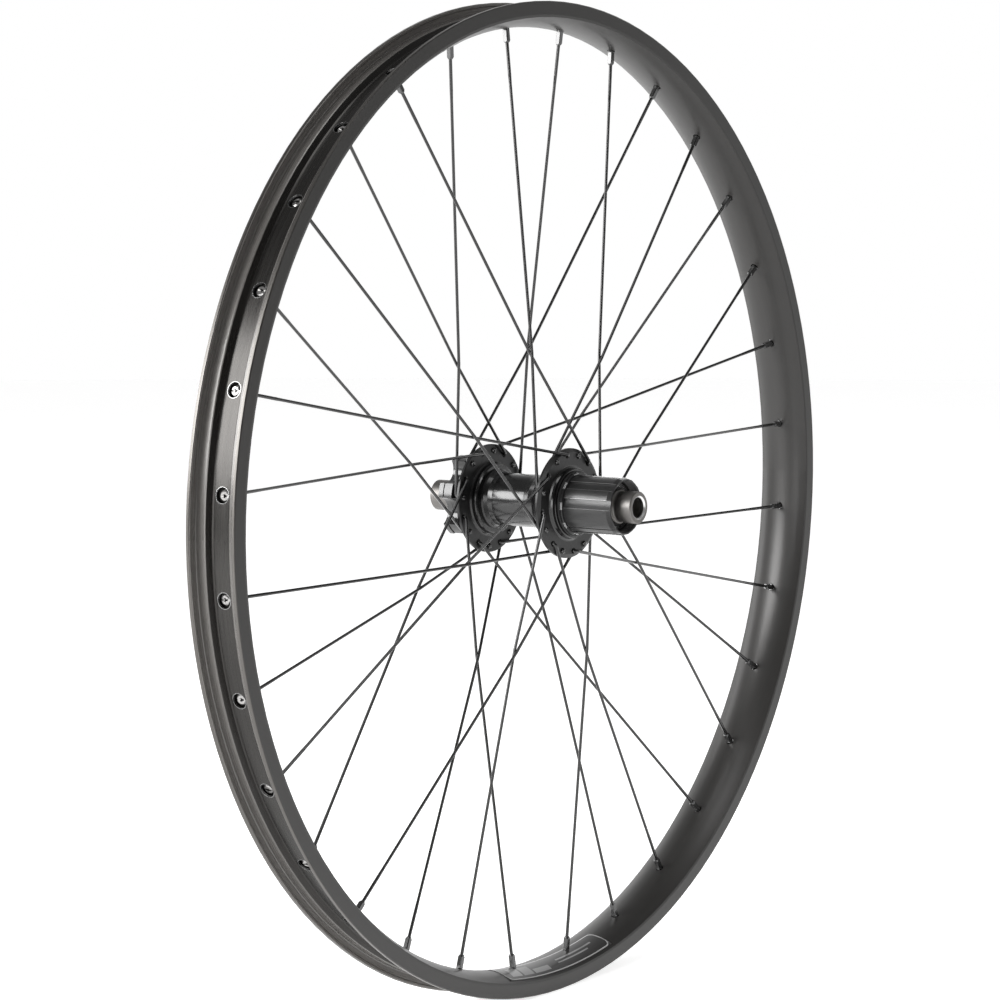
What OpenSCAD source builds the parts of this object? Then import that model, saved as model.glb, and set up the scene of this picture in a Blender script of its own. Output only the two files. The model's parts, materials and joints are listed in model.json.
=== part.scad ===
// Rear bicycle wheel: disc-brake hub with a splined freehub, three-cross spokes, double-walled rim.
// The origin is the wheel's centre. The axle lies along Y, with the drive side at -Y.
// Sub-parts are drawn with the axle along Z and the drive side up, and on_axle() turns them.

/* [Rim] */
// Diameter of the tyre's bead seat
bead_d = 584; // [559:1:622]
// Width over both side walls
rim_w = 34.6; // [33.6:0.1:36]
// Height of the rim's edge above the bead seat
edge_h = 5.7; // [5.2:0.1:6.2]
// Height from the edge to the innermost point
rim_h = 14.8; // [14.6:0.1:16]
// Width of the centre channel at its top
channel_w = 16.4; // [14:0.2:18]
// Depth of the centre channel below the bead seat
channel_depth = 3.7; // [3:0.1:4]
// Diameter of the access holes for the nipples
access_d = 8.8; // [8:0.1:9.4]
// Diameter of the valve hole
valve_d = 6.5; // [6.5, 8.5]

/* [Spokes] */
// Number of spokes
spoke_count = 32; // [28, 32, 36]
// How many spokes of its own side each spoke crosses
cross_count = 3; // [3]
// Diameter of a spoke's two ends
spoke_d = 2.0; // [1.8:0.1:2.0]
// Diameter of a spoke's thinner middle
spoke_mid_d = 1.8; // [1.5:0.1:1.8]
// Length of a nipple from end to end
nipple_len = 12.8; // [12:0.1:14]
// Width of a nipple across its flats
nipple_flat_w = 3.25; // [3.2:0.05:3.4]

/* [Hub] */
// Width over the end caps
hub_w = 148; // [148:1:150]
// Distance from the wheel's middle to the drive flange's outer face
drive_flange_z = 24.9; // [24.5:0.1:25.5]
// Distance from the wheel's middle to the disc flange's outer face
disc_flange_z = 36.9; // [36.5:0.1:37.5]
// Diameter of both flanges
flange_d = 66; // [65:0.5:68]
// Diameter of the circle of spoke holes
spoke_circle_d = 58.2; // [57.6:0.1:58.6]
// Thickness of a flange
flange_t = 3.0; // [2.8:0.1:3.0]
// Diameter of the barrel between the flanges
barrel_d = 32; // [31:0.5:34]
// Distance from the wheel's middle to the brake disc's seat
disc_seat_z = 55.2; // [55:0.1:55.5]
// Diameter of the circle of disc bolts
disc_bolt_circle_d = 44; // [44]
// Diameter of the thru axle's bore
axle_bore_d = 12.1; // [12.05:0.05:12.2]

/* [Freehub] */
// Diameter over the splines
spline_d = 34.4; // [34:0.1:34.8]
// Depth of the spline grooves
spline_depth = 0.9; // [0.8:0.1:1.2]
// Diameter of the internal lockring thread
lockring_d = 30.2; // [30:0.1:30.6]
// Number of teeth in the ratchet ring
ratchet_teeth = 36; // [24, 36]

/* [Hidden] */
gap = 0.02;

// Rim, as radii from the axle
edge_r = bead_d / 2 + edge_h;
bead_r = bead_d / 2;
inner_r = edge_r - rim_h;
bed_r = bead_r - channel_depth;
half_w = rim_w / 2;
edge_t = 2.3;
hook = 0.5;
bed_t = 1.4;
arch_t = 1.8;
arch_radius = 30;
side_h = 9.2;
crease_r = edge_r - side_h;
arch_centre_r = inner_r + arch_radius;
channel_top = channel_w / 2;
channel_floor = channel_top - 2.2;
valve_angle = -89.2;
sleeve_angle = 8.4;

// Spoke layout
hole_step = 360 / spoke_count;
hub_step = 2 * hole_step;
cross_angle = cross_count * hub_step;
last_cross_angle = (2 * cross_count - 1) * hub_step / 2;
FAMILIES = ["drive_inner", "disc_outer", "drive_outer", "disc_inner"];
flange_r = flange_d / 2;
spoke_circle_r = spoke_circle_d / 2;
spoke_hole_r = 1.35;
sink_r = 1.95;
sink_depth = 0.6;
elbow_r = 2.3;
elbow_start = 0.75;
bend_r = 40;
touch_gap = 0.1;
bend_skin = 0.02;
nipple_pivot_r = inner_r + arch_t / 2;
nipple_hole_r = 2.45;
nipple_r = 2.0;
nipple_head_r = 3.0;
nipple_head_len = 2.4;
nipple_seat = 1.0;
nipple_end = nipple_seat + nipple_head_len - nipple_len;
thread_len = 28;

// Hub, as distances along the axle from the wheel's middle
half_hub = hub_w / 2;
barrel_r = barrel_d / 2;
drive_mid_z = drive_flange_z - flange_t / 2;
disc_mid_z = disc_flange_z - flange_t / 2;
boss_r = 20.9;
boss_end_z = drive_flange_z + 3.6;
axle_bore_r = axle_bore_d / 2;
tube_end_z = half_hub - 3;
tube_r = 8.5;
tube_neck_r = 8.2;
tube_end_r = 7.5;
lobe_r = 25.8;
lobe_angle = 47.4;
lobe_scallop_r = 9;
lobe_scallop_at = 26.2;
lobe_bore_r = 13.5;
lobe_start_z = 43.5;
lobe_turned_z = 51.6;
disc_bolt_r = 2.1;
disc_bolt_depth = 9;

// Bearings: [start along the axle, width, inner radius, outer radius, ball radius, balls]
HUB_DRIVE = [9.8, 7, 8.5, 15, 1.95, 13];
HUB_DISC = [-54.5, 7, 8.5, 15, 1.95, 13];
FREEHUB_INBOARD = [29.6, 5, 7.5, 12, 1.2, 18];
FREEHUB_OUTBOARD = [50.8, 7, 7.5, 14, 1.9, 12];
seal_t = 0.6;

// Freehub and ratchet
carrier_start_z = 18.4;
carrier_r = 15.8;
seal_r = 19.6;
shoulder_start_z = boss_end_z + 1.4;
shoulder_end_z = boss_end_z + 2.8;
shoulder_r = 18.9;
spline_start_z = shoulder_end_z + 0.3;
spline_end_z = 61.9;
freehub_end_z = 64.8;
spline_r = spline_d / 2;
spline_end_r = spline_r - 0.7;
spline_count = 9;
spline_step = 360 / spline_count;
spline_groove = 19.5;
spline_start_angle = 173.7;
spline_key_angle = 230;
spline_key_groove = 4.8;
ring_out_r = 19;
tooth_root_r = 17.4;
tooth_tip_r = 16.2;
tooth_step = 360 / ratchet_teeth;
tooth_slant = 1.6;
ring_start_z = carrier_start_z + 0.3;
ring_end_z = 27.4;
pawl_count = 3;
pawl_start_z = 19.8;
pawl_len = 6.2;
pawl_pivot_r = 13.2;
pawl_pivot_angle = 27;
pawl_heel_r = 2.1;
pawl_play = 0.05;
spring_z = pawl_start_z + pawl_len / 2;
spring_ring_r = 15.2;
spring_wire_r = 0.4;

function spoke_name(i) = str(FAMILIES[i % 4], "_spoke_", floor(i / 4) + 1);

$fn = 64;

module on_axle() rotate([90, 0, 0]) children();

module tube(r_out, r_in, z0, z1) {
  translate([0, 0, z0]) difference() {
    cylinder(r = r_out, h = z1 - z0);
    translate([0, 0, -1]) cylinder(r = r_in, h = z1 - z0 + 2);
  }
}

// A hole from the rim's spoke face outwards, at one angle round the wheel
module rim_hole(angle, from_r, to_r, r) {
  rotate([0, 0, angle]) translate([from_r, 0, 0]) rotate([0, 90, 0]) cylinder(r = r, h = to_r - from_r);
}

function polar(r, a) = [r * cos(a), r * sin(a)];
function mirrored(points) = concat(points, [for (i = [len(points) - 1:-1:0]) [points[i][0], -points[i][1]]]);

// Rim

module rim_outline() {
  side_top = edge_r - 0.6;
  intersection() {
    polygon(mirrored([
      [inner_r - 1, half_w - 0.5],
      [crease_r - 0.5, half_w - 0.3],
      [crease_r + 1.2, half_w],
      [side_top, half_w],
      [edge_r, half_w - 0.6],
      [edge_r, half_w - edge_t - hook + 0.5],
      [edge_r - 0.5, half_w - edge_t - hook],
      [edge_r - 1.6, half_w - edge_t - hook],
      [edge_r - 2.3, half_w - edge_t],
      [bead_r + 0.5, half_w - edge_t],
      [bead_r, half_w - edge_t - 0.5],
      [bead_r + 0.1, channel_top + 0.6],
      [bead_r - 0.2, channel_top],
      [bed_r + 0.5, channel_floor + 0.4],
      [bed_r, channel_floor - 0.4]
    ]));
    translate([arch_centre_r, 0]) circle(r = arch_radius, $fn = 180);
  }
}

module rim_cavity_outline(shrink) {
  intersection() {
    polygon(mirrored([
      [inner_r, half_w - 1.7 - shrink],
      [bead_r - bed_t - 0.6 - shrink, half_w - 1.7 - shrink],
      [bead_r - bed_t - shrink, half_w - 2.4 - shrink],
      [bead_r - bed_t - shrink, channel_top + 1.4 + shrink],
      [bed_r - bed_t - shrink, channel_floor + 0.6 + shrink]
    ]));
    translate([arch_centre_r, 0]) circle(r = arch_radius - arch_t - shrink, $fn = 180);
  }
}

module rim() {
  color("#3c3c3e") on_axle() difference() {
    rotate_extrude($fn = 240) rim_outline();
    rotate_extrude($fn = 240) rim_cavity_outline(0);
    for (i = [0:spoke_count - 1]) {
      angle = valve_angle + (i + 0.5) * hole_step;
      rim_hole(angle, inner_r - 2, bed_r - 1, nipple_hole_r);
      rim_hole(angle, bed_r - 2.2, bed_r + 3, access_d / 2);
    }
    rim_hole(valve_angle, inner_r - 2, bed_r + 3, valve_d / 2);
  }
}

module rim_joint_sleeve() {
  color("#a8a9ad") on_axle() rotate([0, 0, valve_angle + 180 - sleeve_angle / 2])
    rotate_extrude(angle = sleeve_angle, $fn = 360) rim_cavity_outline(0.15);
}

// Spokes and nipples

function is_drive(i) = i % 2 == 0;
function turns_ccw(i) = i % 4 >= 2;
function is_outer(i) = i % 4 == 1 || i % 4 == 2;
function rim_angle(i) = valve_angle + (i + 0.5) * hole_step;
function hub_angle(i) = rim_angle(i) + (turns_ccw(i) ? -1 : 1) * cross_angle;
function flange_mid(i) = is_drive(i) ? drive_mid_z : -disc_mid_z;
function exit_side(i) = (is_drive(i) ? 1 : -1) * (is_outer(i) ? 1 : -1);
function hub_point(i) = polar(spoke_circle_r, hub_angle(i));
function rim_point(i) = polar(nipple_pivot_r, rim_angle(i));
function reach(i) = norm(rim_point(i) - hub_point(i));
function along(i) = (rim_point(i) - hub_point(i)) / reach(i);
function cross2(a, b) = a[0] * b[1] - a[1] * b[0];

// How far along a spoke it meets the last spoke that it crosses
function cross_at(i) =
  let (ray = polar(1, hub_angle(i) + (turns_ccw(i) ? 1 : -1) * last_cross_angle))
  -cross2(hub_point(i), ray) / cross2(along(i), ray);

// In a spoke's own plane X runs from the hub hole towards the rim, and Y out of the flange.
// An outer spoke passes behind the inner one at the last crossing, and both bend round each other.
function weave_point(i) =
  let (t = cross_at(i), side = is_drive(i) ? 1 : -1, over = is_outer(i) ? -1 : 1,
       z = flange_mid(i) * (1 - t / reach(i)) + over * side * (spoke_mid_d + touch_gap) / 2)
  [t, (z - flange_mid(i)) * exit_side(i)];
function end_point(i) = [reach(i), -flange_mid(i) * exit_side(i)];
function elbow_turn(i) =
  let (a = weave_point(i)[0] - elbow_r, b = weave_point(i)[1] - elbow_start)
  atan2(a, b) + asin(elbow_r / norm([a, b]));
function elbow_end(i) =
  let (t = elbow_turn(i)) [elbow_r * (1 - cos(t)), elbow_start + elbow_r * sin(t)];
function first_slope(i) = 90 - elbow_turn(i);
function second_slope(i) = let (d = end_point(i) - weave_point(i)) atan2(d[1], d[0]);
function bend_angle(i) = second_slope(i) - first_slope(i);
function bend_reach(i) = bend_r * tan(abs(bend_angle(i)) / 2);
function bend_start(i) = weave_point(i) - polar(bend_reach(i), first_slope(i));
function bend_end(i) = weave_point(i) + polar(bend_reach(i), second_slope(i));

module spoke_frame(i) {
  u = along(i);
  h = hub_point(i);
  n = exit_side(i);
  multmatrix([
    [u[0], 0, u[1] * n, h[0]],
    [u[1], 0, -u[0] * n, h[1]],
    [0, n, 0, flange_mid(i)],
    [0, 0, 0, 1]
  ]) children();
}

// A rod along a line in the spoke's plane, from its own list of [radius, distance] points
module rod(start, slope, points) {
  last = len(points) - 1;
  translate([start[0], start[1], 0]) rotate([0, 0, slope]) rotate([0, 90, 0])
    rotate_extrude($fn = 48) polygon(concat([[0, points[0][1]]], points, [[0, points[last][1]]]));
}

// The bends are a hair thicker than the rods, whose ends run a little way into them
module elbow(i) {
  translate([elbow_r, elbow_start, 0]) rotate([0, 0, 180 - elbow_turn(i)])
    rotate_extrude(angle = elbow_turn(i), $fn = 144)
      translate([elbow_r, 0]) circle(r = spoke_d / 2 + bend_skin, $fn = 48);
}

module weave_bend(i) {
  left = bend_angle(i) > 0 ? 1 : -1;
  centre = bend_start(i) + polar(bend_r, first_slope(i) + left * 90);
  from = left > 0 ? first_slope(i) - 90 : second_slope(i) + 90;
  translate([centre[0], centre[1], 0]) rotate([0, 0, from])
    rotate_extrude(angle = abs(bend_angle(i)), $fn = 1440)
      translate([bend_r, 0]) circle(r = spoke_mid_d / 2 + bend_skin, $fn = 48);
}

module spoke(i) {
  end_r = spoke_d / 2;
  mid_r = spoke_mid_d / 2;
  head_z = -flange_t / 2 + sink_depth;
  first_len = norm(bend_start(i) - elbow_end(i));
  second_len = norm(end_point(i) - bend_end(i));
  color("#1d1d1f") on_axle() spoke_frame(i) {
    rod([0, 0], 90, [
      [0.7, head_z - 2.1],
      [1.45, head_z - 1.7],
      [1.75, head_z - 1.1],
      [1.75, head_z - 0.7],
      [end_r, head_z],
      [end_r, elbow_start + 0.2]
    ]);
    elbow(i);
    rod(elbow_end(i), first_slope(i), [
      [end_r, -0.2],
      [end_r, 10],
      [mid_r, 15],
      [mid_r, first_len + 0.5]
    ]);
    weave_bend(i);
    rod(bend_end(i), second_slope(i), [
      [mid_r, -0.5],
      [mid_r, second_len - thread_len - 5],
      [end_r, second_len - thread_len],
      [end_r, second_len + 1.4]
    ]);
  }
}

module nipple(i) {
  top = nipple_seat + nipple_head_len;
  spoke_frame(i) translate([end_point(i)[0], end_point(i)[1], 0])
    rotate([0, 0, second_slope(i)]) rotate([0, 90, 0]) difference() {
      union() {
        rotate_extrude($fn = 48) polygon([
          [0, -1.6], [nipple_r, -1.6], [nipple_r, nipple_seat], [nipple_head_r, nipple_seat + 1],
          [nipple_head_r, top - 0.5], [nipple_head_r - 0.6, top], [0, top]
        ]);
        intersection() {
          rotate_extrude($fn = 48) polygon([
            [0, nipple_end], [1.45, nipple_end], [nipple_r, nipple_end + 1.2], [nipple_r, -1.6], [0, -1.6]
          ]);
          translate([0, 0, nipple_end / 2]) cube([nipple_flat_w, nipple_flat_w, -nipple_end], center = true);
        }
      }
      translate([0, 0, nipple_end - 1]) cylinder(r = spoke_d / 2 + 0.05, h = nipple_len + 2, $fn = 32);
      translate([0, 0, top]) cube([1, 2 * nipple_head_r + 1, 2], center = true);
    }
}

module nipples() {
  color("#2b2b2e") on_axle() for (i = [0:spoke_count - 1]) nipple(i);
}

// Hub shell

module hub_profile() {
  edge = flange_r;
  drive_in = drive_flange_z - flange_t;
  disc_in = -(disc_flange_z - flange_t);
  polygon([
    [12.8, -46.5], [12.8, 9], [15 + gap, 9.8], [15 + gap, 16.8], [15.9, 17],
    [15.9, carrier_start_z], [ring_out_r + gap, carrier_start_z], [ring_out_r + gap, 27.6],
    [seal_r - 0.4, 27.9], [seal_r - 0.4, boss_end_z], [boss_r - 0.4, boss_end_z], [boss_r, boss_end_z - 0.4],
    [boss_r, drive_flange_z + 1.6], [boss_r + 0.5, drive_flange_z + 0.5],
    [boss_r + 1.6, drive_flange_z], [edge - 2.4, drive_flange_z],
    [edge, drive_flange_z - 1.2], [edge, drive_in + 0.4], [edge - 0.4, drive_in],
    [26, drive_in], [24, drive_in - 0.7], [22.4, 19.2], [20.3, 15.6], [18.6, 12],
    [17.2, 8.4], [barrel_r + 0.3, 4.6], [barrel_r, 1],
    [barrel_r, -22], [barrel_r + 0.4, -25], [barrel_r + 1.4, -27.4], [18.2, -28.1], [18.2, -29.2],
    [20.4, -29.2], [21.3, -29.7], [21.6, -30.6], [21.6, disc_in + 1.2],
    [22.4, disc_in + 0.3], [23.4, disc_in],
    [edge - 0.4, disc_in], [edge, disc_in - 0.4], [edge, -(disc_flange_z - 1.2)],
    [edge - 2.4, -disc_flange_z], [23, -disc_flange_z], [20.6, -38.4], [19.6, -40.6],
    [19.6, -43.5], [17, -46], [15.8, -46.5]
  ]);
}

// Six scalloped lobes that the brake disc is bolted to
module disc_mount() {
  translate([0, 0, -disc_seat_z]) difference() {
    union() {
      cylinder(r1 = lobe_r - 0.5, r2 = lobe_r, h = 0.5, $fn = 128);
      translate([0, 0, 0.5]) cylinder(r = lobe_r, h = disc_seat_z - lobe_turned_z - 0.5, $fn = 128);
      translate([0, 0, disc_seat_z - lobe_turned_z])
        cylinder(r = lobe_r - 0.5, h = lobe_turned_z - lobe_start_z - 2, $fn = 128);
      translate([0, 0, disc_seat_z - lobe_start_z - 2])
        cylinder(r1 = lobe_r - 0.5, r2 = 19, h = 4.4, $fn = 128);
    }
    translate([0, 0, -1]) cylinder(r = lobe_bore_r, h = 30);
    for (i = [0:5]) rotate([0, 0, lobe_angle + 60 * i]) {
      rotate([0, 0, 30]) translate([lobe_scallop_at, 0, -1]) cylinder(r = lobe_scallop_r, h = 30);
      translate([disc_bolt_circle_d / 2, 0, -1])
        cylinder(r = disc_bolt_r, h = disc_bolt_depth + 1, $fn = 32);
      translate([disc_bolt_circle_d / 2, 0, -0.1])
        cylinder(r1 = disc_bolt_r + 0.6, r2 = disc_bolt_r, h = 0.6, $fn = 32);
    }
  }
}

module flange_holes(mid_z, first) {
  for (i = [first:2:spoke_count - 1]) rotate([0, 0, hub_angle(i)]) translate([spoke_circle_r, 0, mid_z]) {
    cylinder(r = spoke_hole_r, h = flange_t + 2, center = true, $fn = 32);
    for (s = [0, 180]) rotate([s, 0, 0]) translate([0, 0, flange_t / 2 - sink_depth])
      cylinder(r1 = spoke_hole_r, r2 = sink_r + 0.4, h = 1, $fn = 32);
  }
}

module hub_shell() {
  bearing_end = HUB_DISC[0] + HUB_DISC[1];
  color("#161618") on_axle() difference() {
    union() {
      rotate_extrude($fn = 180) hub_profile();
      disc_mount();
    }
    translate([0, 0, -disc_seat_z - 1])
      cylinder(r = HUB_DISC[3] + gap, h = disc_seat_z + 1 + bearing_end, $fn = 128);
    translate([0, 0, -disc_seat_z - 0.01])
      cylinder(r1 = HUB_DISC[3] + 0.6, r2 = HUB_DISC[3] + gap, h = 0.6, $fn = 128);
    flange_holes(drive_mid_z, 0);
    flange_holes(-disc_mid_z, 1);
  }
}

// Bearings

function pitch_r(b) = (b[2] + b[3]) / 2;
function mid_z(b) = b[0] + b[1] / 2;
function inner_race_r(b) = pitch_r(b) - 0.62 * b[4];
function outer_race_r(b) = pitch_r(b) + 0.62 * b[4];

module race(b, r0, r1) {
  rotate_extrude($fn = 96) difference() {
    translate([r0, b[0]]) square([r1 - r0, b[1]]);
    translate([pitch_r(b), mid_z(b)]) circle(r = b[4] + gap, $fn = 48);
  }
}

module inner_ring(b) {
  color("#b8babd") on_axle() race(b, b[2] + gap, inner_race_r(b));
}

module outer_ring(b) {
  color("#b8babd") on_axle() race(b, outer_race_r(b), b[3]);
}

module ball_set(b) {
  on_axle() for (k = [0:b[5] - 1]) rotate([0, 0, k * 360 / b[5]])
    translate([pitch_r(b), 0, mid_z(b)]) sphere(r = b[4], $fn = 32);
}

module seal_pair(b) {
  r_in = inner_race_r(b) + 0.08;
  r_out = outer_race_r(b) - gap;
  on_axle() {
    tube(r_out, r_in, b[0] + 0.15, b[0] + 0.15 + seal_t);
    tube(r_out, r_in, b[0] + b[1] - 0.15 - seal_t, b[0] + b[1] - 0.15);
  }
}

module hub_bearing_balls() {
  color("#d5d7da") {
    ball_set(HUB_DRIVE);
    ball_set(HUB_DISC);
  }
}

module hub_bearing_seals() {
  color("#1a1a1a") {
    seal_pair(HUB_DRIVE);
    seal_pair(HUB_DISC);
  }
}

module freehub_bearing_balls() {
  color("#d5d7da") {
    ball_set(FREEHUB_INBOARD);
    ball_set(FREEHUB_OUTBOARD);
  }
}

module freehub_bearing_seals() {
  color("#1a1a1a") {
    seal_pair(FREEHUB_INBOARD);
    seal_pair(FREEHUB_OUTBOARD);
  }
}

// Axle assembly

module axle_tube() {
  disc_shoulder = HUB_DISC[0];
  neck = HUB_DRIVE[0] + HUB_DRIVE[1];
  groove_r = 6.75;
  color("#8d8f92") on_axle() rotate_extrude($fn = 96) polygon([
    [axle_bore_r, -tube_end_z], [tube_end_r - 0.4, -tube_end_z], [tube_end_r, 0.4 - tube_end_z],
    [tube_end_r, -67], [groove_r, -67], [groove_r, -65.8], [tube_end_r, -65.8],
    [tube_end_r, disc_shoulder], [tube_r, disc_shoulder], [tube_r, neck],
    [tube_neck_r, neck + 0.3], [tube_neck_r, FREEHUB_INBOARD[0]], [tube_end_r, FREEHUB_INBOARD[0]],
    [tube_end_r, 65.8], [groove_r, 65.8], [groove_r, 67], [tube_end_r, 67],
    [tube_end_r, tube_end_z - 0.4], [tube_end_r - 0.4, tube_end_z], [axle_bore_r, tube_end_z]
  ]);
}

module freehub_spacer() {
  start = FREEHUB_INBOARD[0] + FREEHUB_INBOARD[1];
  color("#9a9ca0") on_axle() tube(8.8, tube_end_r + gap, start, FREEHUB_OUTBOARD[0]);
}

module end_cap_o_rings() {
  color("#151515") on_axle() for (s = [-1, 1]) translate([0, 0, s * 66.4])
    rotate_extrude($fn = 96) translate([7.28, 0]) circle(r = 0.5, $fn = 32);
}

// The socket inside an end cap, which slips over the axle tube and its O-ring
function socket_points(start) = [
  [axle_bore_r + 0.9, half_hub], [axle_bore_r, half_hub - 0.9], [axle_bore_r, tube_end_z],
  [tube_end_r + gap, tube_end_z], [tube_end_r + gap, 67], [7.8, 67], [7.8, 65.8],
  [tube_end_r + gap, 65.8], [tube_end_r + gap, start]
];

module drive_end_cap() {
  start = FREEHUB_OUTBOARD[0] + FREEHUB_OUTBOARD[1];
  color("#a3a39c") on_axle() rotate_extrude($fn = 96) polygon(concat(socket_points(start), [
    [9.2, start], [9.2, 58.9], [10, 58.9], [10.4, 59.3], [10.4, 60.7], [10, 61.1],
    [9.3, 61.3], [8.8, 61.9], [8.6, 62.7], [8.7, 63.5], [9.1, 64.5], [9.5, 65.7],
    [9.55, 66.6], [9.55, half_hub - 0.5], [9.05, half_hub]
  ]));
}

module disc_end_cap() {
  start = -HUB_DISC[0];
  color("#b4b4b0") on_axle() mirror([0, 0, 1]) rotate_extrude($fn = 96) polygon(concat(socket_points(start), [
    [9.6, start], [9.6, 55.1], [13.6, 55.1], [14, 55.5], [14, 56.5], [13.6, 56.9],
    [10.2, 57.4], [9.6, 58.1], [9.3, 59.1], [9.3, half_hub - 0.5], [8.8, half_hub]
  ]));
}

// Freehub

module freehub_profile() {
  inboard = FREEHUB_INBOARD;
  outboard = FREEHUB_OUTBOARD;
  outboard_end = outboard[0] + outboard[1];
  polygon([
    [8.7, carrier_start_z], [carrier_r - 0.5, carrier_start_z], [carrier_r, carrier_start_z + 0.5],
    [carrier_r, shoulder_start_z], [shoulder_r, shoulder_start_z], [shoulder_r, shoulder_end_z - 0.4],
    [shoulder_r - 0.4, shoulder_end_z], [spline_r, shoulder_end_z],
    [spline_r, spline_end_z], [spline_end_r, freehub_end_z],
    [lockring_d / 2 + 0.6, freehub_end_z], [lockring_d / 2, freehub_end_z - 0.7],
    [lockring_d / 2, outboard_end + 0.2], [outboard[3] + gap, outboard_end + 0.2],
    [outboard[3] + gap, outboard[0]], [10.8, outboard[0]], [10.8, inboard[0] + inboard[1]],
    [inboard[3] + gap, inboard[0] + inboard[1]], [inboard[3] + gap, inboard[0] - 0.1],
    [8.7, inboard[0] - 0.1]
  ]);
}

module spline_groove_at(angle, width) {
  rotate([0, 0, angle]) translate([0, 0, spline_start_z])
    linear_extrude(freehub_end_z - spline_start_z + 1) difference() {
      polygon([[0, 0], polar(2 * spline_r, -width / 2), polar(2 * spline_r, width / 2)]);
      circle(r = spline_r - spline_depth, $fn = 180);
    }
}

// Eight equal grooves and a narrow one, so that a cassette fits in one position only
module spline_grooves() {
  for (k = [2:spline_count]) spline_groove_at(spline_start_angle + k * spline_step, spline_groove);
  spline_groove_at(spline_key_angle, spline_key_groove);
}

module shoulder_notches() {
  for (k = [0:spline_count - 1]) rotate([0, 0, 180 + k * spline_step])
    translate([shoulder_r - 0.7, -2, shoulder_start_z - 1]) cube([3, 4, shoulder_end_z - shoulder_start_z + 2]);
}

module pawl_pocket(k) {
  rotate([0, 0, k * 360 / pawl_count]) translate([0, 0, pawl_start_z - 0.2])
    linear_extrude(pawl_len + 0.4) union() {
      translate(polar(pawl_pivot_r, pawl_pivot_angle)) circle(r = pawl_heel_r + pawl_play);
      polygon([
        polar(12.3, -7), polar(18, -7), polar(18, 26), polar(pawl_pivot_r, 26), polar(11.6, 20)
      ]);
    }
}

module freehub_body() {
  color("#4a4c50") on_axle() difference() {
    rotate_extrude($fn = 180) freehub_profile();
    spline_grooves();
    shoulder_notches();
    for (k = [0:pawl_count - 1]) pawl_pocket(k);
    tube(20, spring_ring_r - 0.6, spring_z - 0.6, spring_z + 0.6);
  }
}

module freehub_seal() {
  color("#0f0f10") on_axle() rotate_extrude($fn = 128) polygon([
    [carrier_r + gap, boss_end_z - 0.4], [seal_r - 0.7, boss_end_z - 0.4], [seal_r - 0.7, boss_end_z + 0.2],
    [seal_r, boss_end_z + 0.3], [seal_r, boss_end_z + 1.1], [seal_r - 0.3, boss_end_z + 1.35],
    [carrier_r + gap, boss_end_z + 1.35]
  ]);
}

module pawl(k) {
  color("#77797c") on_axle() rotate([0, 0, k * 360 / pawl_count]) difference() {
    translate([0, 0, pawl_start_z]) linear_extrude(pawl_len) union() {
      translate(polar(pawl_pivot_r, pawl_pivot_angle)) circle(r = pawl_heel_r);
      polygon([
        polar(15.2, -1), polar(17, 0.6), polar(15.9, 8.2), polar(15.2, 25),
        polar(pawl_pivot_r, pawl_pivot_angle), polar(13, 19), polar(14, 8)
      ]);
    }
    tube(20, spring_ring_r - 1, spring_z - 0.7, spring_z + 0.7);
  }
}

module pawl_spring() {
  color("#c9cacc") on_axle() translate([0, 0, spring_z]) rotate([0, 0, 60])
    rotate_extrude(angle = 345, $fn = 96) translate([spring_ring_r, 0]) circle(r = spring_wire_r, $fn = 24);
}

module ratchet_ring() {
  teeth = [for (i = [0:ratchet_teeth - 1]) each [
    polar(tooth_root_r, i * tooth_step),
    polar(tooth_tip_r, (i + 1) * tooth_step - tooth_slant)
  ]];
  color("#8a8c90") on_axle() translate([0, 0, ring_start_z]) linear_extrude(ring_end_z - ring_start_z)
    difference() {
      circle(r = ring_out_r, $fn = 128);
      polygon(teeth);
    }
}

rim();
rim_joint_sleeve();
nipples();
hub_shell();
ratchet_ring();
outer_ring(HUB_DRIVE);  // hub_drive_outer_ring
outer_ring(HUB_DISC);  // hub_disc_outer_ring
hub_bearing_balls();
hub_bearing_seals();
axle_tube();
drive_end_cap();
disc_end_cap();
end_cap_o_rings();
freehub_spacer();
inner_ring(HUB_DRIVE);  // hub_drive_inner_ring
inner_ring(HUB_DISC);  // hub_disc_inner_ring
inner_ring(FREEHUB_INBOARD);  // freehub_inboard_inner_ring
inner_ring(FREEHUB_OUTBOARD);  // freehub_outboard_inner_ring
freehub_body();
freehub_seal();
pawl_spring();
outer_ring(FREEHUB_INBOARD);  // freehub_inboard_outer_ring
outer_ring(FREEHUB_OUTBOARD);  // freehub_outboard_outer_ring
freehub_bearing_balls();
freehub_bearing_seals();
pawl(0);  // pawl_1
pawl(1);  // pawl_2
pawl(2);  // pawl_3
for (i = [0:spoke_count - 1]) spoke(i);
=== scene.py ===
import json
import math

import bmesh
import bpy
from mathutils import Matrix, Vector


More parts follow.
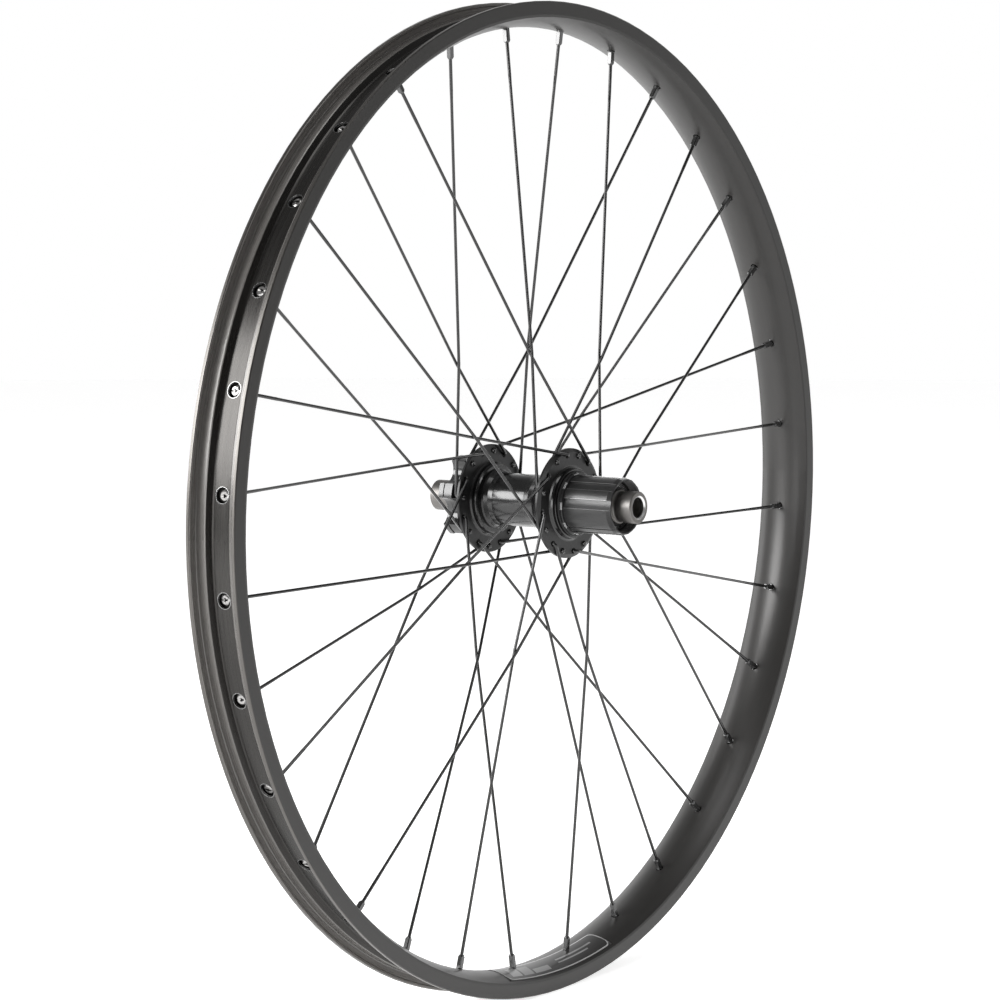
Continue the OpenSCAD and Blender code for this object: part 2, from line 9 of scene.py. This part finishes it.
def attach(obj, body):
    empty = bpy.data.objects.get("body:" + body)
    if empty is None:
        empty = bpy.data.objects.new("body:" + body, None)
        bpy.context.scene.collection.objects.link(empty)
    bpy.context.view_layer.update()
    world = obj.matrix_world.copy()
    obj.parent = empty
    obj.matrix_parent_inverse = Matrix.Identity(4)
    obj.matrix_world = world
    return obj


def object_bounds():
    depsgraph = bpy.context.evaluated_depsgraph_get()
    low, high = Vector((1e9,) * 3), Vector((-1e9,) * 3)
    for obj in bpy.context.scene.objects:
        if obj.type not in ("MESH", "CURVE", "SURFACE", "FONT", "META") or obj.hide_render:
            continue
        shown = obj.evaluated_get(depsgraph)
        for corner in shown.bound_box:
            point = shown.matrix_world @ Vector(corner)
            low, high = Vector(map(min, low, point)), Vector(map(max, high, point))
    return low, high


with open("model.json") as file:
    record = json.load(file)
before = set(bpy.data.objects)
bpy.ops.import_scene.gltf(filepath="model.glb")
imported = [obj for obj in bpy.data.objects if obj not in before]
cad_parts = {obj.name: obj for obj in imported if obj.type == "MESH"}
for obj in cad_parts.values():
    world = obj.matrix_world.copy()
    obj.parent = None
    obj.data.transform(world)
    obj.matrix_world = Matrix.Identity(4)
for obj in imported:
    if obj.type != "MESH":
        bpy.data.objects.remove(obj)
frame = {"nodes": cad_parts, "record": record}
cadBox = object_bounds()
nodes = frame["nodes"]
print("frame loaded:", len(nodes), "nodes")


def grey(level, warm=0.0):
    return (level * (1 + warm), level, level * (1 - warm))


class Value:
    # A socket that takes + - * / and gives a Math node
    def __init__(self, tree, socket):
        self.tree = tree
        self.socket = socket

    def maths(self, operation, first, second=0.0):
        return self.tree.add("ShaderNodeMath", {"operation": operation}, {0: first, 1: second})

    def __add__(self, other):
        return self.maths("ADD", self, other)

    def __radd__(self, other):
        return self.maths("ADD", other, self)

    def __sub__(self, other):
        return self.maths("SUBTRACT", self, other)

    def __rsub__(self, other):
        return self.maths("SUBTRACT", other, self)

    def __mul__(self, other):
        return self.maths("MULTIPLY", self, other)

    def __rmul__(self, other):
        return self.maths("MULTIPLY", other, self)

    def __truediv__(self, other):
        return self.maths("DIVIDE", self, other)

    def __pow__(self, power):
        return self.maths("POWER", self, power)

    def __abs__(self):
        return self.maths("ABSOLUTE", self)

    def fraction(self):
        return self.maths("FRACT", self)

    def most(self, other):
        return self.maths("MAXIMUM", self, other)

    def least(self, other):
        return self.maths("MINIMUM", self, other)

    # 0 below low, 1 above high, with a soft step between them
    def rise(self, low, high):
        return self.tree.add("ShaderNodeMapRange", {"interpolation_type": "SMOOTHSTEP"},
                             {"Value": self, "From Min": low, "From Max": high, "To Min": 0.0, "To Max": 1.0})

    # 1 past an edge and 0 before it, over a step this soft
    def past(self, edge, soft):
        return self.rise(edge, edge + soft)

    def before(self, edge, soft):
        return 1 - self.past(edge, soft)

    # 1 between low and high, 0 outside, with edges this soft
    def band(self, low, high, soft):
        return self.rise(low - soft, low + soft) * (1 - self.rise(high - soft, high + soft))


class Nodes:
    # A node tree and the one way its nodes are added
    def __init__(self, tree):
        self.tree = tree

    def add(self, nodeType, settings=None, inputs=None, output=0):
        made = self.tree.nodes.new(nodeType)
        for key, value in (settings or {}).items():
            setattr(made, key, value)
        for key, value in (inputs or {}).items():
            self.plug(made.inputs[key], value)
        return Value(self, made.outputs[output])

    def plug(self, socket, value):
        if isinstance(value, Value):
            self.tree.links.new(value.socket, socket)
        elif isinstance(value, tuple) and socket.type == "RGBA":
            socket.default_value = (*value, 1.0)
        else:
            socket.default_value = value

    def vector(self, x, y, z):
        return self.add("ShaderNodeCombineXYZ", inputs={0: x, 1: y, 2: z})

    def parts(self, vector):
        return [self.add("ShaderNodeSeparateXYZ", inputs={0: vector}, output=k) for k in range(3)]

    def noise(self, vector, scale, detail=2.0, roughness=0.5):
        return self.add("ShaderNodeTexNoise",
                        inputs={"Vector": vector, "Scale": scale, "Detail": detail, "Roughness": roughness})

    def mix(self, amount, first, second):
        return self.add("ShaderNodeMix", {"data_type": "RGBA"}, {0: amount, 6: first, 7: second}, 2)

    # One grey that wanders between two shares of a level
    def shades(self, amount, level, low, high, warm=0.0):
        return self.mix(amount, grey(level * low, warm), grey(level * high, warm))

    # Colours laid over a first one, each where its mask is 1
    def layers(self, colour, *over):
        for mask, upper in over:
            colour = self.mix(mask, colour, upper)
        return colour


class Finish(Nodes):
    # A material, with what is the same all over set on the shader itself
    def __init__(self, name, coat=0.0, coatRoughness=0.06, specular=0.5):
        self.material = bpy.data.materials.new(name)
        self.material.use_nodes = True
        super().__init__(self.material.node_tree)
        self.shader = self.tree.nodes["Principled BSDF"]
        self.set("Coat Weight", coat)
        self.set("Coat Roughness", coatRoughness)
        self.set("Specular IOR Level", specular)

    def set(self, name, value):
        self.plug(self.shader.inputs[name], value)

    def place(self):
        return self.add("ShaderNodeTexCoord", output=3)

    # Metres from the axle, metres along the axle, and turns round it
    def aroundAxle(self):
        x, y, z = self.parts(self.place())
        return (x * x + z * z) ** 0.5, y, z.maths("ARCTAN2", z, x) / math.tau

    # The fine rings that a lathe leaves
    def lathe(self, spot, fineness, perTurn, detail=2.0):
        reach, along, turn = spot
        return self.noise(self.vector(reach * fineness, along * fineness, turn * perTurn), 1.0, detail)

    def bump(self, height, distance, strength=1.0):
        self.set("Normal", self.add("ShaderNodeBump",
                                    inputs={"Height": height, "Distance": distance, "Strength": strength}))


def wear(mesh, finish):
    mesh.materials.clear()
    mesh.materials.append(finish.material)


view = {
    "azimuth": -53.882,
    "elevation": 5.22,
    "distance": 1.93085,
    "aside": -0.022084,
    "above": 0.000608,
    "lens": 115.27,
    "sensor": 36,
    "nearest": 0.01,
}


def addCamera():
    turn, tilt = math.radians(view["azimuth"]), math.radians(view["elevation"])
    right = Vector((math.cos(turn), math.sin(turn), 0))
    back = Vector((math.sin(turn) * math.cos(tilt), -math.cos(turn) * math.cos(tilt), math.sin(tilt)))
    up = back.cross(right)
    camera = bpy.data.objects.new("camera", bpy.data.cameras.new("camera"))
    camera.data.lens = view["lens"]
    camera.data.sensor_width = view["sensor"]
    camera.data.clip_start = view["nearest"]
    spot = back * view["distance"] + right * view["aside"] + up * view["above"]
    camera.matrix_world = Matrix.Translation(spot) @ Matrix((right, up, back)).transposed().to_4x4()
    bpy.context.scene.collection.objects.link(camera)
    bpy.context.scene.camera = camera
    return back


studio = {
    "floorSize": 14.0,
    "floorSides": 64,
    "floorShade": 0.88,
    "floorMottle": 0.03,
    "floorRoughness": 0.8,
    "floorGlow": 0.7,
    "seen": 1.0,    # how bright the backdrop looks
    "front": 0.05,  # and how bright its parts are in reflections
    "behind": 1.1,
    "above": 0.22,
    "turnsBehind": (-0.8, 0.1),  # where the front's brightness goes over to that behind
    "turnsAbove": (0.25, 0.8),
    "lights": [
        # name, angle round from the camera, height, distance, width, tall, power
        ("leftBox", -67, 0.8, 2.4, 1.4, 1.2, 66),
        ("backBox", -124, 0.7, 2.8, 0.9, 2.0, 16),
        ("frontBox", -26, 0.15, 2.6, 1.0, 0.85, 14),
        ("rightBox", 62, 0.9, 2.8, 0.35, 1.8, 14),
        ("topBox", -20, 2.3, 0.5, 1.6, 0.9, 14),
    ],
}


def addFloor():
    half, sides = studio["floorSize"] / 2, studio["floorSides"]
    corners = [math.tau * k / sides for k in range(sides)]
    shape = bmesh.new()
    shape.faces.new([shape.verts.new((half * math.cos(a), half * math.sin(a), cadBox[0][2])) for a in corners])
    mesh = bpy.data.meshes.new("floor")
    shape.to_mesh(mesh)
    shape.free()
    floor = bpy.data.objects.new("floor", mesh)
    bpy.context.scene.collection.objects.link(floor)
    pale = Finish("paleFloor", specular=0.2)
    cloud = pale.noise(pale.place(), 3.0)
    pale.set("Base Color", pale.mix(cloud, grey(studio["floorShade"]),
                                    grey(studio["floorShade"] + studio["floorMottle"])))
    pale.set("Roughness", studio["floorRoughness"])
    pale.set("Emission Color", (1.0, 1.0, 1.0))
    pale.set("Emission Strength", studio["floorGlow"])
    wear(mesh, pale)


def addWorld(back):
    world = bpy.data.worlds.new("studio")
    world.use_nodes = True
    bpy.context.scene.world = world
    air = Nodes(world.node_tree)
    way = air.add("ShaderNodeTexCoord", output=0)
    facing = air.add("ShaderNodeVectorMath", {"operation": "DOT_PRODUCT"}, {0: way, 1: back}, 1)
    height = air.parts(way)[2]
    glow = studio["front"] + (studio["behind"] - studio["front"]) * (1 - facing.rise(*studio["turnsBehind"]))
    glow = glow + (studio["above"] - glow) * height.rise(*studio["turnsAbove"])
    seen = air.add("ShaderNodeLightPath", output=0)
    backdrop = world.node_tree.nodes["Background"]
    backdrop.inputs["Color"].default_value = (1, 1, 1, 1)
    air.plug(backdrop.inputs["Strength"], seen * studio["seen"] + (1 - seen) * glow)


def addLights(back):
    for name, angle, height, distance, width, tall, power in studio["lights"]:
        data = bpy.data.lights.new(name, "AREA")
        data.shape = "RECTANGLE"
        data.size, data.size_y, data.energy = width, tall, power
        lamp = bpy.data.objects.new(name, data)
        flat = Vector((back.x, back.y, 0)).normalized()
        flat.rotate(Matrix.Rotation(math.radians(angle), 3, "Z"))
        lamp.location = flat * distance + Vector((0, 0, height))
        lamp.rotation_euler = lamp.location.to_track_quat("Z", "Y").to_euler()
        bpy.context.scene.collection.objects.link(lamp)


bpy.context.scene.view_settings.view_transform = "Standard"
towardsCamera = addCamera()
addFloor()
addWorld(towardsCamera)
addLights(towardsCamera)
print("studio ready")


def newPiece(name, shape, finish, body):
    bmesh.ops.recalc_face_normals(shape, faces=shape.faces)
    mesh = bpy.data.meshes.new(name)
    shape.to_mesh(mesh)
    shape.free()
    piece = bpy.data.objects.new(name, mesh)
    bpy.context.scene.collection.objects.link(piece)
    wear(mesh, finish)
    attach(piece, body)
    return piece


# Metres round the axle from the nearest of a ring of equal places
def fromNearest(turn, count, first, reach):
    return ((turn * count - first / 360 * count + 0.5).fraction() - 0.5) / count * math.tau * reach


rimLook = {
    "shade": 0.023,
    "warm": 0.055,
    "roughness": 0.31,
    "metallic": 0.25,
    "fineness": 1500,
    "bedFrom": 0.2875,        # the tyre bed's surfaces lie outside this radius
    "bedHalf": 0.0152,
    "bedRoughness": 0.16,
    "channelHalf": 0.0080,    # the bed's polished middle
    "channelShade": 0.03,
    "channelMetallic": 0.6,
    "shelfPaintedLight": 0.1,        # and the shelves beside it, painted lighter: painted light for what they reflect
    # the inner sides of the walls, painted lighter: painted light for what they reflect
    "wallFrom": 0.0132,
    "wallTo": 0.0156,
    "wallReach": 0.2925,
    "wallPaintedLight": 0.16,
    # the edge tops, painted light as a painted highlight and made more metallic
    "edgeFrom": 0.29725,
    "edgeHighlightShade": 0.1,
    "edgeMetallic": 0.7,
    "spokes": 32,
    "accessHole": 0.0044,
    "valveHole": 0.00325,
    "valveAngle": -89.2,
    "ringInside": 0.0006,     # how far bare metal goes into a hole and out round it
    "ringOutside": 0.00025,
    "bareShade": 0.3,
    "jointHalf": 0.00004,     # the line where the rim's two ends meet
    "jointShade": 0.004,
}


# The bare ring that a drill leaves round a hole
def drilledRing(arc, along, radius):
    fromMiddle = (arc * arc + along * along) ** 0.5
    return fromMiddle.band(radius - rimLook["ringInside"], radius + rimLook["ringOutside"], 0.00006)


def rimFinish():
    finish = Finish("rimAlloy", coat=0.1, coatRoughness=0.2)
    look = rimLook
    warm = look["warm"]
    spot = reach, along, turn = finish.aroundAxle()
    lines = finish.lathe(spot, look["fineness"], 5, 3.0)
    cloud = finish.noise(finish.place(), 38.0, 4.0)
    grain = finish.noise(finish.place(), 3200.0, 1.0)
    streaks = finish.noise(finish.vector(along * 900, turn * 46, reach * 300), 1.0, 4.0, 0.6)
    firstHole = look["valveAngle"] + 360 / look["spokes"] / 2
    access = drilledRing(fromNearest(turn, look["spokes"], firstHole, reach), along, look["accessHole"])
    valve = drilledRing(fromNearest(turn, 1, look["valveAngle"], reach), along, look["valveHole"])
    bare = access.most(valve) * reach.past(look["bedFrom"] - 0.0012, 0.0002)
    joint = abs(fromNearest(turn, 1, look["valveAngle"] + 180, reach)).before(look["jointHalf"], 0.00006)
    aside = abs(along)
    # Painted light: the bed's shelves are painted lighter for the light they reflect
    inBed = reach.past(look["bedFrom"], 0.0004) * aside.before(look["bedHalf"], 0.0004)
    channel = inBed * aside.before(look["channelHalf"], 0.0004)
    # Painted light: the walls' inner sides are painted lighter for the light they reflect
    wall = aside.band(look["wallFrom"], look["wallTo"], 0.0002) * reach.past(look["wallReach"], 0.0005)
    # Painted highlight: the edge tops are painted lighter, and made more metallic
    edge = reach.past(look["edgeFrom"], 0.00025)
    finish.set("Base Color", finish.layers(
        finish.shades(lines * 0.5 + cloud * 0.5, look["shade"], 0.78, 1.22, warm),
        (inBed, grey(look["shelfPaintedLight"], warm)),
        (channel, finish.shades(streaks, look["channelShade"], 0.6, 1.4, warm)),
        (wall, grey(look["wallPaintedLight"], warm)),
        (edge, grey(look["edgeHighlightShade"], warm)),
        (joint * 0.8, grey(look["jointShade"])),
        (bare, grey(look["bareShade"]))))
    shiny = (channel * look["channelMetallic"]).most(edge * look["edgeMetallic"])
    finish.set("Metallic", look["metallic"] + bare * (1 - look["metallic"]) + shiny)
    matt = look["roughness"] + (look["bedRoughness"] - look["roughness"]) * inBed
    finish.set("Roughness", matt + lines * 0.07 + cloud * 0.04 + streaks * inBed * 0.12)
    finish.bump(lines * 0.7 + grain * 0.3 - joint * 2, 0.00001, 0.7)
    return finish


hubLook = {
    "shade": 0.004,
    "roughness": 0.19,
    "coat": 0.3,
    "flangeShade": 0.006,
    "flangeRoughness": 0.36,
    "flangeFrom": 0.0225,
    "flangeTo": 0.041,
    "turnedFrom": 0.05155,  # the brake mount's lobes are turned finer from here on
    "turnedShade": 0.03,
    "bareFrom": 0.05508,    # and their end faces are bare
    "bareReach": 0.0150,
    "bareShade": 0.42,
}


def hubFinish():
    finish = Finish("hubBlack", coatRoughness=0.16)
    look = hubLook
    spot = reach, along, turn = finish.aroundAxle()
    turned = finish.lathe(spot, 5200, 3)
    cloud = finish.noise(finish.place(), 420.0, 3.0)
    flange = reach.past(look["flangeFrom"], 0.0008) * along.before(look["flangeTo"], 0.001)
    bare = along.past(look["bareFrom"], 0.0001) * reach.past(look["bareReach"], 0.0001)
    lobe = along.past(look["turnedFrom"], 0.0001)
    finish.set("Base Color", finish.layers(
        grey(look["shade"]),
        (flange, finish.shades(cloud, look["flangeShade"], 0.8, 1.2)),
        (lobe, grey(look["turnedShade"])),
        (bare, finish.shades(turned, look["bareShade"], 0.8, 1.15, 0.01))))
    finish.set("Metallic", bare)
    finish.set("Coat Weight", look["coat"] * (1 - flange.most(bare)))
    rougher = (look["flangeRoughness"] - look["roughness"]) * flange
    finish.set("Roughness", look["roughness"] + cloud * 0.03 + rougher
               + (0.26 + turned * 0.12) * bare * (1 - flange))
    finish.bump(turned * (0.25 + 0.75 * bare.most(flange)) + cloud * flange * 0.5, 0.00001, 0.5)
    return finish


spokeLook = {
    "shade": 0.010,
    "roughness": 0.16,
    "metallic": 0.35,
    "headTo": 0.0312,  # the heads lie inside this radius and are worn most
    "wornShade": 0.1,
}


def spokeFinish():
    finish = Finish("spokeBlack", coat=0.6, coatRoughness=0.08)
    look = spokeLook
    reach = finish.aroundAxle()[0]
    drawn = finish.noise(finish.place(), 160.0, 3.0)
    specks = finish.noise(finish.place(), 1400.0, 2.0)
    head = reach.before(look["headTo"], 0.0004)
    worn = specks.rise(0.58, 0.75) * (0.06 + head * 0.6)
    black = finish.shades(drawn, look["shade"], 0.7, 1.4)
    finish.set("Base Color", finish.mix(worn, black, grey(look["wornShade"])))
    finish.set("Metallic", look["metallic"])
    finish.set("Roughness", look["roughness"] + drawn * 0.08)
    finish.bump(specks, 0.000004, 0.3)
    return finish


nippleLook = {
    "shade": 0.014,
    "roughness": 0.17,
    "insideFrom": 0.2846,  # the heads inside the rim are bare
    "bareShade": 0.3,
}


def nippleFinish():
    finish = Finish("nippleBlack", coat=1.0, coatRoughness=0.05)
    look = nippleLook
    specks = finish.noise(finish.place(), 1900.0, 2.0)
    inside = finish.aroundAxle()[0].past(look["insideFrom"], 0.0002)
    black = finish.shades(specks, look["shade"], 0.7, 1.5)
    finish.set("Base Color", finish.mix(inside, black, grey(look["bareShade"], 0.02)))
    finish.set("Metallic", inside)
    finish.set("Roughness", look["roughness"] + specks * 0.1 + inside * 0.08)
    finish.bump(specks, 0.00001, 0.4)
    return finish


freehubLook = {
    "shade": 0.022,
    "roughness": 0.24,
    "metallic": 0.3,
    "count": 9,
    "landRadius": 0.0172,
    "landFrom": 0.0164,
    "landTo": -0.0317,      # the splines end at the shoulder
    "grooveAngle": 173.7,
    "grooveHalf": 9.75,
    "filledAngle": 213.7,   # one place has a narrow groove beside it instead
    "narrowAngle": 230.0,
    "narrowHalf": 2.4,
    # thin painted highlights on the lands beside the grooves
    "edgeHighlightShade": 0.3,
    "notchShade": 0.62,
    "notchHalf": 0.00215,
    "notchFrom": -0.03135,
    "notchTo": -0.02985,
    "notchRadius": 0.0179,
    # the bore inside this radius is painted a flat dark tone, a painted shade
    "insideTo": 0.01535,
    "paintedBoreShade": 0.02,
}


# A painted highlight: a thin bright line on the lands beside each of a ring of grooves
def grooveHighlight(turn, count, first, half, reach):
    toSide = math.radians(half) * freehubLook["landRadius"]
    return abs(fromNearest(turn, count, first, reach)).band(toSide - 0.00008, toSide + 0.00014, 0.00005)


def freehubFinish():
    finish = Finish("freehubAlloy", coat=0.12, coatRoughness=0.2)
    look = freehubLook
    reach, along, turn = finish.aroundAxle()
    drawn = finish.noise(finish.vector(reach * 3000, turn * 260, along * 90), 1.0, 3.0)
    specks = finish.noise(finish.place(), 2600.0, 2.0)
    splined = along.before(look["landTo"], 0.0002)
    land = reach.rise(look["landRadius"] - 0.00012, look["landRadius"] - 0.00004) * splined
    # Painted shade: the bore inside the splines is painted a flat dark tone
    inside = reach.before(look["insideTo"], 0.00015)
    notch = (abs(fromNearest(turn, look["count"], 180, reach)).band(-0.01, look["notchHalf"], 0.00008)
             * along.band(look["notchFrom"], look["notchTo"], 0.00005)
             * reach.past(look["notchRadius"], 0.00015))
    # Painted highlights: thin bright lines along the lands' edges
    edge = grooveHighlight(turn, look["count"], look["grooveAngle"], look["grooveHalf"], reach)
    edge = edge * abs(fromNearest(turn, 1, look["filledAngle"], reach)).rise(0.0036, 0.0038)
    edge = edge.most(grooveHighlight(turn, 1, look["narrowAngle"], look["narrowHalf"], reach))
    edge = edge * reach.rise(look["landFrom"], 0.0170) * splined
    finish.set("Base Color", finish.layers(
        finish.shades(drawn, look["shade"], 0.75, 1.3),
        (land, grey(look["shade"] * 1.3)),
        (edge * 0.8, grey(look["edgeHighlightShade"])),
        (inside, grey(look["paintedBoreShade"], 0.03)),
        (notch, grey(look["notchShade"]))))
    finish.set("Metallic", look["metallic"] + (edge * 0.4).most(notch * 0.2))
    finish.set("Roughness", look["roughness"] + drawn * 0.1 + inside * 0.12 - notch * 0.05)
    finish.bump(drawn * 0.6 + specks * 0.4, 0.00001, 0.5)
    return finish


capLook = {
    "shade": 0.17,
    "warm": 0.04,
    "roughness": 0.38,
    "blast": 0.8,
    "chamferFrom": 0.0731,  # the mouth's bright chamfer
    "chamferTo": 0.0070,
    "chamferShade": 0.75,
}


# Alloy that is part turned and part blasted
def capFinish(name, shade, roughness, blast):
    finish = Finish(name)
    look = capLook
    spot = reach, along, turn = finish.aroundAxle()
    turned = finish.lathe(spot, 4200, 4)
    blasted = finish.noise(finish.place(), 2800.0, 3.0)
    bright = abs(along).past(look["chamferFrom"], 0.0001) * reach.before(look["chamferTo"], 0.0001)
    grain = turned * (1 - blast) + blasted * blast
    body = finish.shades(grain, shade, 0.75, 1.25, look["warm"])
    finish.set("Base Color", finish.mix(bright, body, grey(look["chamferShade"])))
    finish.set("Metallic", 1.0)
    finish.set("Roughness", roughness + grain * 0.12 - bright * 0.12)
    finish.bump(grain, 0.00002, 0.6)
    return finish


def steelFinish(name, shade, roughness):
    finish = Finish(name)
    ground = finish.lathe(finish.aroundAxle(), 6000, 5)
    finish.set("Base Color", finish.shades(ground, shade, 0.85, 1.1))
    finish.set("Metallic", 1.0)
    finish.set("Roughness", roughness + ground * 0.12)
    finish.bump(ground, 0.000006, 0.4)
    return finish


rubberLook = {"shade": 0.02, "roughness": 0.42}


def rubberFinish():
    finish = Finish("sealRubber", specular=0.4)
    specks = finish.noise(finish.place(), 3000.0, 3.0)
    finish.set("Base Color", finish.shades(specks, rubberLook["shade"], 0.4, 1.0))
    finish.set("Roughness", rubberLook["roughness"] + specks * 0.15)
    finish.bump(specks, 0.00003, 0.5)
    return finish


freehubAlloy = freehubFinish()
hubBlack = hubFinish()
finishes = {
    "rim_alloy": rimFinish(),
    "sleeve_alloy": capFinish("sleeveAlloy", 0.5, 0.35, 0.2),
    "nipple_black": nippleFinish(),
    "spoke_black": spokeFinish(),
    "hub_black": hubBlack,
    "hardened_steel": steelFinish("hardenedSteel", 0.35, 0.28),
    "bearing_steel": steelFinish("bearingSteel", 0.6, 0.15),
    "ball_steel": steelFinish("ballSteel", 0.75, 0.06),
    "seal_rubber": rubberFinish(),
    "axle_alloy": capFinish("axleAlloy", 0.4, 0.3, 0.1),
    "cap_alloy": capFinish("capAlloy", capLook["shade"], capLook["roughness"], capLook["blast"]),
    "freehub_alloy": freehubAlloy,
    "spring_steel": steelFinish("springSteel", 0.65, 0.2),
}
for part in frame["record"]["subparts"]:
    wear(nodes[part["node"]].data, finishes[part["material_slot"]])
print("finishes ready")


lockringThread = {
    "radius": 0.0151,
    "depth": 0.00035,
    "pitch": 0.00106,
    "start": 0.0586,
    "length": 0.0048,
    "perTurn": 72,
}
discThreads = {
    "count": 6,
    "circle": 0.022,
    "firstAngle": 47.4,
    "radius": 0.0021,
    "depth": 0.00025,
    "pitch": 0.0008,
    "start": 0.0544,
    "length": 0.0072,
    "perTurn": 24,
}


# A thread's rib, wound towards the freehub side inside a hole whose wall it is sunk into
def addThread(shape, look, centre):
    along = Vector((0, -1, 0))
    first = Vector((1, 0, 0))
    second = along.cross(first)
    pitch, depth, perTurn = look["pitch"], look["depth"], look["perTurn"]
    sunk = 0.00012
    count = round(look["length"] / pitch * perTurn)
    profile = [(sunk, -0.46), (-depth, -0.08), (-depth, 0.08), (sunk, 0.46)]
    rings = []
    for k in range(count + 1):
        angle = math.tau * k / perTurn
        fade = min(1.0, k / perTurn * 2, (count - k) / perTurn * 2)  # the rib runs out at both ends
        out = first * math.cos(angle) + second * math.sin(angle)
        rise = look["length"] * (k / count)
        ring = []
        for deep, side in profile:
            reach = look["radius"] + (deep if deep > 0 else deep * fade)
            ring.append(shape.verts.new(Vector(centre) + out * reach + along * (rise + side * pitch * 0.94)))
        rings.append(ring)
    for here, there in zip(rings, rings[1:]):
        for a in range(4):
            b = (a + 1) % 4
            shape.faces.new((here[a], here[b], there[b], there[a]))
    shape.faces.new(rings[0][::-1])
    shape.faces.new(rings[-1])


shape = bmesh.new()
addThread(shape, lockringThread, (0, -lockringThread["start"], 0))
newPiece("lockringThread", shape, freehubAlloy, "freehub")
shape = bmesh.new()
for k in range(discThreads["count"]):
    angle = math.radians(discThreads["firstAngle"] + 360 / discThreads["count"] * k)
    addThread(shape, discThreads, (discThreads["circle"] * math.cos(angle), discThreads["start"],
                                   discThreads["circle"] * math.sin(angle)))
newPiece("discBoltThreads", shape, hubBlack, "wheel")
print("threads ready")


# A plain sticker on the rim's spoke side, with an outline and bars but nothing to read
sticker = {
    "from": -99.6,
    "to": -78.0,
    "nearY": -0.0152,
    "farY": 0.0020,
    "corner": 0.004,
    "margin": 0.0006,
    "line": 0.00035,
    "lift": 0.00028,
    "archCentre": 0.3129,
    "archRadius": 0.030,
    "lengthRadius": 0.2845,
    "acrossCount": 16,
    "aroundCount": 72,
    "lean": 0.35,
    "shade": 0.02,
    "printShade": 0.45,
    "bars": [
        # left, right, low, top, strength
        (0.006, 0.016, 0.003, 0.0125, 0.55),
        (0.018, 0.028, 0.003, 0.0125, 0.4),
        (0.030, 0.046, 0.003, 0.0075, 0.5),
        (0.056, 0.094, 0.0085, 0.0098, 0.6),
        (0.056, 0.088, 0.0055, 0.0066, 0.6),
    ],
}


def stickerFinish():
    finish = Finish("stickerFilm", coat=0.3)
    look = sticker
    along, turn = finish.aroundAxle()[1:]
    wide = look["to"] - look["from"]
    length = math.radians(wide) * look["lengthRadius"]
    high = look["farY"] - look["nearY"]
    u = (turn * 360 - look["from"]) / wide * length
    v = along - look["nearY"]
    # How far a point is inside the outline, whose corners are cut round
    inset = look["corner"] + look["margin"]
    boxU = abs(u - length / 2) - (length / 2 - inset)
    boxV = abs(v - high / 2) - (high / 2 - inset)
    outU, outV = boxU.most(0.0), boxV.most(0.0)
    edge = (outU * outU + outV * outV) ** 0.5 + boxU.most(boxV).least(0.0) - look["corner"]
    printed = edge.band(-look["line"], look["line"], 0.00006)
    leaning = u - v * look["lean"]
    for left, right, low, top, strength in look["bars"]:
        printed = printed.most(leaning.band(left, right, 0.00008) * v.band(low, top, 0.00008) * strength)
    grain = finish.noise(finish.place(), 1500.0)
    film = finish.shades(grain, look["shade"], 1.0, 1.6, 0.03)
    finish.set("Base Color", finish.mix(printed, film, grey(look["printShade"])))
    finish.set("Roughness", 0.3 + grain * 0.06)
    finish.bump(grain, 0.00001, 0.3)
    return finish


def addSticker():
    look = sticker
    shape = bmesh.new()
    across, around = look["acrossCount"], look["aroundCount"]
    sheets = []
    for lift in (0.0, look["lift"]):
        rows = []
        for i in range(around + 1):
            angle = math.radians(look["from"] + (look["to"] - look["from"]) * i / around)
            row = []
            for j in range(across + 1):
                y = look["nearY"] + (look["farY"] - look["nearY"]) * j / across
                radius = look["archCentre"] - math.sqrt((look["archRadius"] + lift) ** 2 - y * y)
                row.append(shape.verts.new((radius * math.cos(angle), y, radius * math.sin(angle))))
            rows.append(row)
        sheets.append(rows)
    for rows in sheets:
        for i in range(around):
            for j in range(across):
                shape.faces.new((rows[i][j], rows[i + 1][j], rows[i + 1][j + 1], rows[i][j + 1]))
    low, top = sheets
    for i in range(around):
        for j in (0, across):
            shape.faces.new((low[i][j], low[i + 1][j], top[i + 1][j], top[i][j]))
    for j in range(across):
        for i in (0, around):
            shape.faces.new((low[i][j], low[i][j + 1], top[i][j + 1], top[i][j]))
    piece = newPiece("rimSticker", shape, stickerFinish(), "wheel")
    for face in piece.data.polygons:
        face.use_smooth = True


addSticker()
print("sticker ready")
